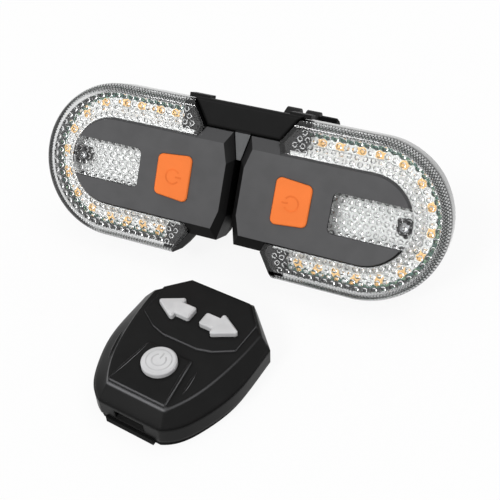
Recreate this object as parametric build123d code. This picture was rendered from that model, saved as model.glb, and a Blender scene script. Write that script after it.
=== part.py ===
from build123d import *
from math import cos, radians, sin, sqrt
import os

os.makedirs("parts", exist_ok=True)

# Bicycle turn signal light with its wireless remote, in millimetres.
# X runs along the light, Y away from the viewer and Z up from the surface that it all stands on.
# Two lamp pods slide on a bracket that tilts on a seat-post clamp. The remote lies in front.

# Shared clearances
overrun = 1.0
side_gap = 0.3
fit_gap = 0.05
slip_gap = 0.15

# Pod face. u runs outward from the face's inner edge, v up along the face, z towards the viewer.
half_gap = 3.4
inner_half = 8.5
corner_u = 2.0
face_half = 15.4
end_u = 44.8
plate_thick = 1.8
edge_width = 0.8
edge_depth = 1.5
cover_wall = 1.6
skirt_depth = 8.0

# Shoulder round the pod's inner end
shoulder_width = 4.2
shoulder_depth = 2.6
shoulder_reach = 2.2
shoulder_inner_half = 10.3
shoulder_corner_u = 0.0

# Slot in the face, open at its outer end, which the lens tongue fills
slot_u = 32.9
slot_half = 7.2
slot_corner = 2.0

# Lens
lens_half = 28.5
lens_wall = 1.5
lens_drop = 1.2
lens_bevel_width = 2.7
lens_bevel_depth = 3.3
tongue_drop = 0.8
cut_a_u = 12.3
cut_b_u = 10.6
cut_c_u = 16.5
lens_screw_inset = 2.1
lens_screw_length = 6.0
lens_seat_depth = 4.0
lens_post_radius = 2.7

# Rear housing
pod_depth = 21.0
parting_depth = 13.0
housing_wall = 1.8
housing_floor = 1.8
rear_inset = 1.0
rim_inset = 2.1
rim_wall = 1.8
post_radius = 2.4
post_v = 11.0
inner_post_u = 5.8
outer_post_u = 48.0
board_rest_u = 29.6
board_rest_size = 1.6
seal_inset = 0.5
seal_width = 0.8
seal_thick = 0.8

# Case screws
screw_radius = 1.0
screw_head_radius = 1.9
screw_head_height = 1.3
screw_reach = 4.0
screw_slot_width = 0.5
screw_slot_depth = 0.6

# Rail that carries a pod, and its channel in the rear housing
rail_end = 26.0
rail_neck_half = 2.4
rail_head_half = 4.3
rail_head_height = 1.6
rail_lip = 1.3
channel_wall = 1.5

# Boards and their parts
board_thick = 1.2
main_board_inner_u = 1.0
main_board_length = 29.5
main_board_half = 14.2
led_board_gap = 0.8
led_board_inset = 1.9
led_length = 3.5
led_width = 2.8
led_height = 1.2
led_pitch = 6.9
straight_leds = 4
turn_leds = 7
reflector_top = 3.0
reflector_lip = 0.8
reflector_reach = 3.6
reflector_thick = 1.0
battery_length = 30.0
battery_half = 12.0
battery_thick = 5.5
battery_u = 11.0
battery_corner = 2.0

# Power button and the switch under it
button_inner_u = 12.5
button_outer_u = 25.7
button_inner_half = 8.5
button_outer_half = 7.25
button_corner = 2.0
button_proud = 0.6
button_flange = 1.0
button_flange_thick = 1.0
button_edge = 0.4
button_stem_radius = 2.0
button_travel = 0.5
switch_size = 6.0
switch_body_height = 3.6
switch_plunger_radius = 1.6
switch_plunger_height = 0.5

# Charging port and its rubber cover on the back
port_clearance = 3.5
port_length = 9.0
port_width = 3.2
port_depth = 7.0
port_shell = 0.3
port_tongue = 0.7
flap_half = 6.0
flap_thick = 1.2
flap_reach = 7.0
flap_hinge = 6.6
flap_lip = 1.5
plug_length = 7.6
plug_width = 1.8
plug_depth = 0.8

# Bracket behind the pods
bracket_gap = 0.3
plate_back_thick = 3.0
plate_half_width = 19.0
plate_low = 18.0
plate_corner = 5.0
bar_front = 2.8
bar_height = 9.6
bar_wall = 2.4
bar_lip = 3.0
bar_drop = 5.5
bar_rib = 1.6
bar_pockets = 3
bar_edge = 1.2
tab_inner_u = 11.5
tab_outer_u = 19.2
tab_thick = 1.5
tab_front = 4.5
tab_length = 5.5
web_gap = 0.5
web_depth = 3.0
web_thick = 2.0

# Tilt hinge between bracket and clamp
lean = 30.5
pivot_depth = 32.0
pivot_v = -3.0
ear_radius = 5.0
ear_thick = 3.5
ear_flare = 2.0
tongue_half = 5.0
hinge_gap = 0.2
bolt_radius = 2.0
bolt_head_radius = 3.5
bolt_head_height = 3.0
bolt_end = 1.0
nut_radius = 4.0
nut_height = 3.2
socket_radius = 1.7
socket_depth = 1.6

# Seat-post clamp, standing on its lower face
post_bore = 27.2
liner_thick = 2.0
ring_wall = 3.5
ring_height = 22.0
ring_offset = 24.6
split_half = 1.5
lug_thick = 6.0
lug_reach = 14.0
lug_height = 16.0
knob_radius = 7.5
knob_length = 8.0
knob_flutes = 8
flute_radius = 1.7
knob_edge = 0.8

# Remote, placed by the centre of its round key. x runs right and y towards its wide end.
remote_x = 2.2
remote_y = -64.9
remote_turn = -8.8
remote_half = 25.0
remote_back = 38.3
pad_thick = 2.3
seam_height = 8.3
deck_height = 13.2
plateau_rise = 0.9
key_top = 16.0
remote_wall = 1.6
remote_edge = 1.0
pad_inset = 1.0
pad_tab_half = 9.0
pad_tab_reach = 1.2
recess_half = 5.5
recess_depth = 1.0
recess_low = 3.6
recess_high = 6.8

# Half outlines of the remote from its wide end forward, as shares of its half width and of its reach back
lower_outline_shares = ((0.516, 1.0), (1.0, 0.68), (1.0, 0.44), (0.97, 0.14),
                        (0.83, -0.155), (0.63, -0.375), (0.45, -0.458))
upper_outline_shares = ((0.492, 0.977), (0.856, 0.705), (0.824, 0.418), (0.772, 0.209),
                        (0.624, -0.13), (0.496, -0.287), (0.432, -0.345))
plateau_shares = ((0.464, 0.94), (0.732, 0.747), (0.712, 0.43), (0.46, 0.325), (0.26, 0.287))
panel_shares = ((0.33, 0.15), (0.425, -0.32))
panel_rise = 1.0

# Keys of the remote
arrow_y = 21.9
arrow_tip = 15.9
arrow_neck = 7.2
arrow_head_half = 5.1
arrow_stem_half = 2.7
arrow_start = 2.0
arrow_corner = 0.8
round_key_radius = 5.75
key_flange = 0.9
key_flange_thick = 1.0
key_edge = 0.5
key_travel = 0.5
key_switch_size = 4.5
key_switch_height = 2.6
key_plunger_radius = 1.2
key_plunger_height = 0.4

# Inside and underside of the remote
remote_board_low = 5.9
remote_board_thick = 1.0
remote_board_half = 13.0
remote_board_neck = 10.4
remote_board_back = 31.0
remote_board_step = 2.0
remote_board_front = 8.0
cell_radius = 10.0
cell_thick = 3.2
cell_y = 9.0
cell_gap = 0.4
contact_half = 3.0
cap_radius = 12.0
cap_thick = 1.8
cap_lift = 0.4
cap_slot_half = 6.0
cap_slot_width = 1.6
cap_slot_depth = 0.7
remote_post_radius = 2.1
remote_screw_radius = 0.8
remote_screw_head = 1.5
remote_screw_head_height = 1.0
back_post_x = 15.5
back_post_y = 27.0
front_post_x = 12.6
front_post_y = -6.5

# Heights in the pod, measured from the face plane
shoulder_half = face_half + shoulder_width
rim_outer = lens_half - rim_inset
led_board_inner = face_half + edge_width + led_board_gap
led_board_outer = lens_half - led_board_inset
led_track = (led_board_inner + led_board_outer) / 2
lens_screw_u = end_u + face_half - lens_screw_inset
lens_post_top = -lens_drop - lens_wall - side_gap
port_u = battery_u + battery_length + port_clearance
board_top = -skirt_depth
board_low = board_top - board_thick
parting = -parting_depth
rear = -pod_depth
floor_top = rear + housing_floor
channel_low = rear + rail_lip
channel_top = channel_low + rail_head_height + 2 * side_gap
channel_half = rail_head_half + side_gap
channel_end = rail_end - half_gap + side_gap
plunger_top = board_top + switch_body_height + switch_plunger_height
button_u = (button_inner_u + button_outer_u) / 2
usb_recess = rear + flap_thick
hinge_u = port_u + flap_hinge
hinge_z = rear + flap_thick / 2

# Places in the whole
lean_sin = sin(radians(lean))
lean_cos = cos(radians(lean))
face_height = (lens_half - rear_inset) * lean_cos + pod_depth * lean_sin
pivot_y = pivot_v * lean_sin + pivot_depth * lean_cos
pivot_z = face_height + pivot_v * lean_cos - pivot_depth * lean_sin
clamp_y = pivot_y + ring_offset
bore_radius = post_bore / 2
ring_inner = bore_radius + liner_thick
ring_outer = ring_inner + ring_wall
screw_y = clamp_y + ring_outer + lug_reach / 2
lug_outer = split_half + lug_thick
light_place = Plane((0, 0, face_height), x_dir=(1, 0, 0), z_dir=(0, -lean_cos, lean_sin)).location
remote_place = Pos(remote_x, remote_y, 0) * Rot(0, 0, remote_turn)


def slab(face, low, high):
    """A flat face thickened between two heights."""
    return extrude(Pos(0, 0, low) * face, high - low, dir=(0, 0, 1))


def disc(radius, x=0, y=0):
    """A flat disc at a place."""
    return Pos(x, y, 0) * Circle(radius)


def patch(low, high):
    """A flat rectangle between two corners."""
    size = (high[0] - low[0], high[1] - low[1])
    return Pos((low[0] + high[0]) / 2, (low[1] + high[1]) / 2, 0) * Rectangle(*size)


def block(low, high):
    """A box between two corners."""
    return slab(patch(low[:2], high[:2]), low[2], high[2])


def polygon(points):
    """A flat face inside straight edges."""
    return make_face(Polyline(*points, close=True))


def mirrored_polygon(points, across=(1, -1)):
    """A flat face from half of its outline, repeated on the other side."""
    other = [(x * across[0], y * across[1]) for x, y in reversed(points)]
    return polygon(list(points) + other)


def rod(radius, x_low, x_high, y, z):
    """A round bar along X."""
    return extrude(Plane((x_low, y, z), z_dir=(1, 0, 0)) * Circle(radius), x_high - x_low)


def round_ended(points, half):
    """A flat pod outline: straight points round the inner end, and a half circle outside."""
    lower = [(u, -v) for u, v in reversed(points)]
    side = Polyline((end_u, half), *points, *lower, (end_u, -half))
    end = ThreePointArc((end_u, -half), (end_u + half, 0), (end_u, half))
    return make_face([side, end])


def face_outline(grow):
    """Outline of the pod's face, grown on all sides."""
    points = [(corner_u - grow, face_half + grow), (-grow, inner_half + grow)]
    return round_ended(points, face_half + grow)


def body_outline(inset):
    """Outline of lens and housing together, drawn in by the inset."""
    points = [
        (cut_c_u + inset / 2, lens_half - inset),
        (cut_b_u + inset / 2, shoulder_half - inset),
        (shoulder_corner_u + inset, shoulder_half - inset),
        (inset - shoulder_reach, shoulder_inner_half - inset),
    ]
    return round_ended(points, lens_half - inset)


def lens_side(inset):
    """The part of the plan outward of the lens ends, which meet the cover and the bracket's bar."""
    far = end_u + lens_half + overrun
    top = lens_half + overrun
    points = [
        (far, top), (cut_c_u + inset, top), (cut_c_u + inset, lens_half),
        (cut_b_u + inset, shoulder_half), (cut_a_u + inset, face_half),
    ]
    return mirrored_polygon(points)


def pod_band(section, start):
    """A section drawn in v and z, carried along both sides of the pod and round its end."""
    face = make_face(Polyline(*[(0, v, z) for v, z in section], close=True))
    run = extrude(Pos(start, 0, 0) * face, end_u - start, dir=(1, 0, 0))
    turn = revolve(Pos(end_u, 0, 0) * face, Axis((end_u, 0, 0), (0, 0, -1)), 180)
    return run + mirror(run, Plane.XZ) + turn


def ring_section(low_v, high_v, low_z, high_z):
    """A rectangular section for pod_band."""
    return [(low_v, low_z), (high_v, low_z), (high_v, high_z), (low_v, high_z)]


def slot_face(grow):
    """The slot in the face, run out past the round end."""
    far = end_u + face_half + edge_width + overrun
    slot = patch((slot_u - grow, -slot_half - grow), (far, slot_half + grow))
    corners = slot.vertices().group_by(Axis.X)[0]
    return fillet(corners, slot_corner)


def button_face(grow):
    """Outline of the power button, wider at its inner end."""
    points = [
        (button_outer_u + grow, button_outer_half + grow),
        (button_inner_u - grow, button_inner_half + grow),
    ]
    face = mirrored_polygon(points)
    return fillet(face.vertices(), button_corner + grow)


def post_places(*us):
    """Screw places, one each side of the pod's middle line."""
    return [(u, side * post_v) for u in us for side in (-1, 1)]


def front_cover():
    """Dark face with its slot, button hole, bevelled inner shoulder, skirt and screw bosses."""
    top = loft([face_outline(0), Pos(0, 0, -edge_depth) * face_outline(edge_width)], ruled=True)
    skirt = slab(face_outline(edge_width), board_top, -edge_depth)
    inside = slab(face_outline(edge_width - cover_wall), board_top - overrun, -plate_thick)
    shell = top + skirt - inside - slab(slot_face(0), board_top - overrun, overrun)
    low = [
        (cut_b_u, shoulder_half), (shoulder_corner_u, shoulder_half),
        (-shoulder_reach, shoulder_inner_half),
    ]
    high = [(cut_a_u, face_half), (corner_u, face_half), (0, inner_half)]
    wide = mirrored_polygon(low)
    shoulder = loft([mirrored_polygon(high), Pos(0, 0, -shoulder_depth) * wide], ruled=True)
    shoulder += slab(wide, parting, -shoulder_depth)
    hollow = [
        (cut_a_u + overrun, shoulder_half - cover_wall),
        (shoulder_corner_u + cover_wall, shoulder_half - cover_wall),
        (cover_wall - shoulder_reach, shoulder_inner_half - cover_wall),
    ]
    roof = -shoulder_depth - cover_wall
    shoulder -= slab(mirrored_polygon(hollow), parting - overrun, roof)
    shoulder -= slab(face_outline(edge_width - cover_wall), parting - overrun, -plate_thick)
    shoulder -= slab(lens_side(0), parting - overrun, overrun)
    bosses = [slab(disc(post_radius, *place), board_top, -plate_thick)
              for place in post_places(inner_post_u, outer_post_u)]
    holes = [slab(disc(screw_radius, *place), board_top - overrun, -screw_reach + fit_gap)
             for place in post_places(inner_post_u, outer_post_u)]
    return (shell + shoulder + bosses
            - slab(button_face(slip_gap), -plate_thick - overrun, overrun) - holes)


def lens():
    """One clear piece: a ring round the pod's end, joined to a tongue that fills the slot."""
    inner = face_half + edge_width
    bevel = lens_half - lens_bevel_width
    outside = [
        (inner, parting), (inner, -lens_drop), (bevel, -lens_drop),
        (lens_half, -lens_drop - lens_bevel_depth), (lens_half, parting),
    ]
    room = lens_half - lens_wall
    roof = -lens_drop - lens_wall
    inside = [
        (inner - overrun, parting - overrun), (inner - overrun, roof), (bevel - lens_wall / 2, roof),
        (room, roof - lens_bevel_depth), (room, parting - overrun),
    ]
    start = cut_b_u
    ring = pod_band(outside, start) & slab(lens_side(0), parting - overrun, overrun)
    hollow = pod_band(inside, start) & slab(lens_side(lens_wall), parting - 2 * overrun, overrun)
    tongue = slab(slot_face(-slip_gap), roof, -tongue_drop) & slab(
        patch((slot_u, -slot_half), (end_u, slot_half)) + disc(inner + lens_wall, end_u), roof, 0)
    return ring - hollow + tongue


def rear_housing():
    """Moulded tub with its rim, screw posts, rail channel, board rests and charging port opening."""
    outer = loft([Pos(0, 0, parting) * body_outline(0), Pos(0, 0, rear) * body_outline(rear_inset)],
                 ruled=True)
    tub = outer - slab(body_outline(housing_wall + rear_inset / 2), floor_top, parting + overrun)
    rim = pod_band(ring_section(rim_outer - rim_wall, rim_outer, floor_top - fit_gap, board_low),
                   cut_c_u)
    rim &= slab(body_outline(housing_wall), rear, 0)
    posts = [slab(disc(post_radius, *place), rear, board_low) for place in post_places(inner_post_u)]
    posts += [slab(disc(post_radius, *place), rear, board_top) for place in post_places(outer_post_u)]
    posts.append(slab(disc(lens_post_radius, lens_screw_u), rear + fit_gap, lens_post_top))
    roof_half = channel_half + channel_wall
    wall_end = channel_end + channel_wall
    start = -shoulder_reach + fit_gap
    tunnel = block((start, -roof_half, rear), (wall_end, roof_half, channel_top + channel_wall))
    tunnel &= slab(body_outline(fit_gap + rear_inset / 2), rear, parting)
    rests = []
    for side in (-1, 1):
        middle = side * (main_board_half - board_rest_size / 2)
        low = (board_rest_u - board_rest_size / 2, middle - board_rest_size / 2, rear + fit_gap)
        high = (board_rest_u + board_rest_size / 2, middle + board_rest_size / 2, board_low)
        rests.append(block(low, high))
    collar_half = port_length / 2 + housing_wall / 2
    collar = block((port_u - port_width / 2 - housing_wall / 2, -collar_half, rear + fit_gap),
                   (port_u + port_width / 2 + housing_wall / 2, collar_half, floor_top + housing_floor))
    body = tub + rim + posts + tunnel + rests + collar
    body -= slab(body_outline(seal_inset) - body_outline(seal_inset + seal_width),
                 parting - seal_thick, parting + overrun)
    neck = rail_neck_half + side_gap
    far_in = -shoulder_reach - overrun
    body -= block((far_in, -neck, rear - overrun), (channel_end, neck, channel_low + overrun))
    body -= block((far_in, -channel_half, channel_low), (channel_end, channel_half, channel_top))
    body -= slab(flap_face(side_gap), rear - overrun, usb_recess)
    body -= block((port_u - port_width / 2, -port_length / 2, rear - overrun),
                  (port_u + port_width / 2, port_length / 2, parting))
    for place in post_places(inner_post_u, outer_post_u):
        body -= slab(disc(screw_radius + fit_gap, *place), rear - overrun, overrun)
        body -= slab(disc(screw_head_radius + fit_gap, *place), rear - overrun,
                     rear + screw_head_height + fit_gap)
    seat = lens_post_top - lens_seat_depth - fit_gap
    body -= slab(disc(screw_radius + fit_gap, lens_screw_u), seat - lens_screw_length, 0)
    body -= slab(disc(screw_head_radius + fit_gap, lens_screw_u), seat, 0)
    return body


def flap_face(grow):
    """Plan of the charging port's cover."""
    face = patch((port_u - flap_reach - grow, -flap_half - grow),
                 (hinge_u + flap_thick / 2 + grow, flap_half + grow))
    corners = face.vertices().group_by(Axis.X)[0]
    return fillet(corners, flap_lip)


def seal():
    """Soft ring in a groove of the housing, under lens and cover."""
    plan = body_outline(seal_inset) - body_outline(seal_inset + seal_width)
    return slab(plan, parting - seal_thick, parting)


def main_board():
    """Board under the face that carries the button's switch."""
    plan = patch((main_board_inner_u, -main_board_half),
                 (main_board_inner_u + main_board_length, main_board_half))
    for place in post_places(inner_post_u):
        plan -= disc(screw_radius + fit_gap, *place)
    return slab(plan, board_low, board_top)


def led_board():
    """U-shaped board under the ring of the lens."""
    band = pod_band(ring_section(led_board_inner, led_board_outer, board_low, board_top), cut_b_u)
    return band & slab(lens_side(2 * lens_wall), board_low - overrun, 0)


def led_places():
    """Place and turn of each light-emitting diode along the board."""
    places = []
    for side in (-1, 1):
        places += [(end_u - n * led_pitch, side * led_track, 0) for n in range(straight_leds)]
    for n in range(turn_leds):
        angle = 180 * (n + 1) / (turn_leds + 1) - 90
        turn = radians(angle)
        places.append((end_u + led_track * cos(turn), led_track * sin(turn), angle + 90))
    return places


def leds():
    """The diodes, as separate blocks on the board."""
    one = slab(Rectangle(led_length, led_width), board_top, board_top + led_height)
    return Compound(children=[Pos(u, v, 0) * Rot(0, 0, turn) * one for u, v, turn in led_places()])


def reflector():
    """White sloping wall inside the ring, and the floor under the lens tongue."""
    inner = face_half + edge_width
    section = [
        (inner, board_top), (inner, -reflector_top), (inner + reflector_lip, -reflector_top),
        (inner + reflector_reach, board_top + reflector_thick), (inner + reflector_reach, board_top),
    ]
    band = pod_band(section, cut_b_u) & slab(lens_side(2 * lens_wall), board_low, 0)
    floor_end = main_board_inner_u + main_board_length + side_gap
    inside = face_outline(edge_width - cover_wall - fit_gap)
    plan = inside & patch((floor_end, -face_half), (end_u + face_half, face_half))
    plan += slot_face(-slip_gap) & disc(inner + reflector_lip, end_u)
    for place in post_places(outer_post_u):
        plan -= disc(post_radius + fit_gap, *place)
    plan -= disc(lens_post_radius + side_gap, lens_screw_u)
    return band + slab(plan, board_top, board_top + reflector_thick)


def battery():
    """Flat cell with rounded long edges, lying on the rail channel."""
    low = channel_top + channel_wall
    core = block((battery_u, -battery_half, low),
                 (battery_u + battery_length, battery_half, low + battery_thick))
    return fillet(core.edges().filter_by(Axis.X), battery_corner)


def button_switch():
    """Push switch on the main board."""
    body = slab(Pos(button_u, 0, 0) * Rectangle(switch_size, switch_size),
                board_top, board_top + switch_body_height)
    return body + slab(disc(switch_plunger_radius, button_u), board_top, plunger_top)


def power_button():
    """Orange button, held under the face by its flange."""
    cap = slab(button_face(0), -plate_thick - fit_gap, button_proud)
    cap = chamfer(cap.faces().sort_by(Axis.Z)[-1].edges(), button_edge)
    low = -plate_thick - fit_gap - button_flange_thick
    flange = slab(button_face(button_flange), low, -plate_thick - fit_gap)
    stem_low = plunger_top + button_travel + fit_gap
    return cap + flange + slab(disc(button_stem_radius, button_u), stem_low, low)


def screw(radius, head_radius, head_height, head_low, tip):
    """Screw pointing up from its head, with a driver slot."""
    head_top = head_low + head_height
    body = slab(Circle(head_radius), head_low, head_top) + slab(Circle(radius), head_low, tip)
    groove = Rectangle(2 * head_radius + overrun, screw_slot_width)
    return body - slab(groove, head_low - overrun, head_low + screw_slot_depth)


def case_screws():
    """Screws that hold the pod together, and the one in the post under the lens."""
    one = screw(screw_radius, screw_head_radius, screw_head_height, rear, -screw_reach)
    places = post_places(inner_post_u, outer_post_u)
    front = screw(screw_radius, screw_head_radius, screw_head_height, 0, lens_screw_length)
    seat = lens_post_top - lens_seat_depth + screw_head_height
    front = Pos(lens_screw_u, 0, seat) * Rot(180, 0, 0) * front
    return Compound(children=[Pos(u, v, 0) * one for u, v in places] + [front])


def usb_port():
    """Metal charging socket, open to the back, with its contact tongue."""
    half_u = port_width / 2
    half_v = port_length / 2
    top = usb_recess + port_depth
    shell = block((port_u - half_u, -half_v, usb_recess), (port_u + half_u, half_v, top))
    shell = fillet(shell.edges().filter_by(Axis.Z), half_u - port_shell)
    room = block((port_u - half_u + port_shell, port_shell - half_v, usb_recess - overrun),
                 (port_u + half_u - port_shell, half_v - port_shell, top - port_shell))
    room = fillet(room.edges().filter_by(Axis.Z), half_u - 2 * port_shell)
    blade_half = half_v - 2 * port_tongue
    blade = block((port_u - port_tongue / 2, -blade_half, usb_recess + 2 * plug_depth),
                  (port_u + port_tongue / 2, blade_half, top))
    return shell - room + blade


def usb_cover():
    """Rubber flap over the charging socket, with its hinge roll and plug."""
    plate = block((port_u - flap_reach, -flap_half, rear), (hinge_u, flap_half, usb_recess))
    corners = plate.edges().filter_by(Axis.Z).group_by(Axis.X)[0]
    plate = fillet(corners, flap_lip - side_gap)
    roll = extrude(Plane((hinge_u, -flap_half, hinge_z), z_dir=(0, 1, 0)) * Circle(flap_thick / 2),
                   2 * flap_half)
    plug = block((port_u - plug_width / 2, -plug_length / 2, usb_recess - fit_gap),
                 (port_u + plug_width / 2, plug_length / 2, usb_recess + plug_depth))
    return plate + roll + plug


def cross_bar(section, middle, half):
    """A section drawn in v and z, run along the bracket to both sides of a middle."""
    face = make_face(Polyline(*[(middle, v, z) for v, z in section], close=True))
    return extrude(face, half + fit_gap, dir=(1, 0, 0), both=True)


def bracket():
    """Back plate, rail, top bar with a web under it, two tabs over the lenses and hinge ears."""
    front = rear - bracket_gap
    back = front - plate_back_thick
    bar_low = shoulder_half + side_gap
    bar_top = bar_low + bar_height
    tab_low = lens_half + side_gap
    tab_top = tab_low + tab_thick
    plate = patch((-plate_half_width, -plate_low), (plate_half_width, bar_top - bar_drop))
    plate = slab(fillet(plate.vertices(), plate_corner), back, front)
    slope = (cut_c_u - cut_b_u) / (lens_half - shoulder_half)
    low_half = half_gap + cut_b_u - side_gap * (1 - slope)
    high_half = low_half + slope * bar_height
    bar = slab(mirrored_polygon([(low_half, bar_low), (high_half, bar_top)], (-1, 1)), back, -bar_front)
    bar = fillet(bar.faces().sort_by(Axis.Z)[-1].edges(), bar_edge)
    lip = -bar_front - bar_lip
    slope_end = bar_top - bar_drop
    bar -= cross_bar([(bar_top, lip), (bar_top + overrun, lip), (bar_top + overrun, back - overrun),
                      (slope_end, back - overrun)], 0, high_half)
    pocket_half = (low_half - bar_wall) / bar_pockets - bar_rib / 2
    pitch = 2 * (pocket_half + bar_rib / 2)
    tab_back = -tab_front - tab_length
    tabs = [block((min(side * (half_gap + tab_inner_u), side * (half_gap + tab_outer_u)), tab_low, tab_back),
                  (max(side * (half_gap + tab_inner_u), side * (half_gap + tab_outer_u)), tab_top,
                   -tab_front)) for side in (-1, 1)]
    head_low = channel_low + side_gap
    rail = block((-rail_end, -rail_neck_half, front), (rail_end, rail_neck_half, head_low))
    rail += block((-rail_end, -rail_head_half, head_low),
                  (rail_end, rail_head_half, head_low + rail_head_height))
    web = mirrored_polygon([(half_gap - shoulder_reach - web_gap, shoulder_inner_half),
                            (half_gap - shoulder_corner_u - web_gap, bar_low + overrun)], (-1, 1))
    body = plate + bar + tabs + rail + slab(web, -web_depth - web_thick, -web_depth)
    for side in (-1, 1):
        body += Pos(side * (tongue_half + hinge_gap + ear_thick / 2), 0, 0) * bracket_ear(back)
    pocket_end = front + bar_wall
    pocket_front = -bar_front - bar_wall
    hollow = [(bar_low - overrun, pocket_front), (bar_top - bar_wall - overrun, pocket_front),
              (slope_end + fit_gap - bar_wall, pocket_end), (bar_low - overrun, pocket_end)]
    for n in range(bar_pockets):
        middle = (n - (bar_pockets - 1) / 2) * pitch
        body -= cross_bar(hollow, middle, pocket_half)
    return body - rod(bolt_radius + fit_gap, -plate_half_width, plate_half_width, pivot_v, -pivot_depth)


def bracket_ear(back):
    """One ear of the tilt hinge, wider where it leaves the back plate."""
    root_half = ear_radius + ear_flare
    profile = [
        (0, pivot_v - root_half, back), (0, pivot_v - ear_radius, -pivot_depth),
        (0, pivot_v + ear_radius, -pivot_depth), (0, pivot_v + root_half, back),
    ]
    web = extrude(make_face(Polyline(*profile, close=True)), ear_thick / 2, dir=(1, 0, 0), both=True)
    return web + rod(ear_radius, -ear_thick / 2, ear_thick / 2, pivot_v, -pivot_depth)


def hexagon_nut(bore, height):
    """A plain nut about X, from zero along X."""
    plan = RegularPolygon(nut_radius, 6) - Circle(bore)
    return extrude(Plane.YZ * plan, height, dir=(1, 0, 0))


def tilt_bolt():
    """Bolt of the tilt hinge, along X, with a socket in its head."""
    outer = tongue_half + hinge_gap + ear_thick
    shank = rod(bolt_radius, -outer - nut_height - bolt_end, outer, pivot_v, -pivot_depth)
    head = rod(bolt_head_radius, outer, outer + bolt_head_height, pivot_v, -pivot_depth)
    head_end = outer + bolt_head_height
    socket = extrude(Plane((head_end - socket_depth, pivot_v, -pivot_depth), z_dir=(1, 0, 0))
                     * RegularPolygon(socket_radius, 6), socket_depth + overrun)
    return shank + head - socket


def tilt_nut():
    """Nut on the tilt bolt."""
    outer = tongue_half + hinge_gap + ear_thick
    return Pos(-outer - nut_height, pivot_v, -pivot_depth) * hexagon_nut(bolt_radius + fit_gap, nut_height)


def clamp_ring():
    """Split ring round the seat post, with two lugs behind and the hinge tongue in front."""
    ring = slab(disc(ring_outer, 0, clamp_y), 0, ring_height)
    lug_low = (ring_height - lug_height) / 2
    lug_back = clamp_y + ring_outer + lug_reach
    lugs = block((-lug_outer, clamp_y, lug_low), (lug_outer, lug_back, ring_height - lug_low))
    lugs = fillet(lugs.edges().filter_by(Axis.X).group_by(Axis.Y)[-1], lug_reach / 3)
    tongue = rod(ear_radius, -tongue_half, tongue_half, pivot_y, pivot_z)
    tongue += block((-tongue_half, pivot_y, pivot_z - ear_radius),
                    (tongue_half, clamp_y, pivot_z + ear_radius))
    body = ring + lugs + tongue - slab(disc(ring_inner, 0, clamp_y), -overrun, ring_height + overrun)
    body -= block((-split_half, clamp_y, -overrun), (split_half, lug_back + overrun, ring_height + overrun))
    body -= rod(bolt_radius + fit_gap, -tongue_half - overrun, tongue_half + overrun, pivot_y, pivot_z)
    return body - rod(bolt_radius + fit_gap, -lug_outer - overrun, lug_outer + overrun,
                      screw_y, ring_height / 2)


def clamp_liner():
    """Rubber sleeve inside the ring, split like the ring."""
    plan = disc(ring_inner, 0, clamp_y) - disc(bore_radius, 0, clamp_y)
    plan -= patch((-split_half, clamp_y), (split_half, clamp_y + ring_outer))
    return slab(plan, 0, ring_height)


def clamp_screw():
    """Thumb screw that closes the clamp: a threaded bar in a fluted knob."""
    start = lug_outer + hinge_gap
    middle_z = ring_height / 2
    bar = rod(bolt_radius, -lug_outer - nut_height - bolt_end, start, screw_y, middle_z)
    knob = rod(knob_radius, start, start + knob_length, screw_y, middle_z)
    knob = chamfer(knob.edges().filter_by(GeomType.CIRCLE), knob_edge)
    for n in range(knob_flutes):
        turn = radians(360 * n / knob_flutes)
        y = screw_y + (knob_radius + flute_radius / 2) * cos(turn)
        z = middle_z + (knob_radius + flute_radius / 2) * sin(turn)
        knob -= rod(flute_radius, start - overrun, start + knob_length + overrun, y, z)
    return bar + knob


def clamp_nut():
    """Nut that the thumb screw turns in."""
    return Pos(-lug_outer - nut_height, screw_y, ring_height / 2) * hexagon_nut(
        bolt_radius + fit_gap, nut_height)


def remote_outline(shares, inset=0):
    """Outline of the remote at one level, straight behind and in front, with curved sides."""
    half = remote_half - inset
    right = [(x * half, y * (remote_back - inset)) for x, y in shares]
    left = [(-x, y) for x, y in right]
    behind = Polyline(left[1], left[0], right[0], right[1])
    sides = [Spline(*right[1:]), Spline(*reversed(left[1:]))]
    return make_face([behind, sides[0], Line(right[-1], left[-1]), sides[1]])


def remote_posts(radius, low, high):
    """Round posts at the remote's four screws."""
    places = [(side * back_post_x, back_post_y) for side in (-1, 1)]
    places += [(side * front_post_x, front_post_y) for side in (-1, 1)]
    return [slab(disc(radius, *place), low, high) for place in places]


def arrow_face(grow):
    """An arrow that points along +x."""
    points = [
        (arrow_tip, 0), (arrow_neck, arrow_head_half), (arrow_neck, arrow_stem_half),
        (arrow_start, arrow_stem_half),
    ]
    lower = [(x, -y) for x, y in reversed(points[1:])]
    face = polygon(points + lower)
    sharp = face.vertices().filter_by(lambda corner: abs(abs(corner.Y) - arrow_stem_half) > fit_gap
                                      or corner.X < arrow_neck - fit_gap)
    face = fillet(sharp, arrow_corner)
    if grow:
        face = offset(face, grow)
    return Pos(0, arrow_y, 0) * face


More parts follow.
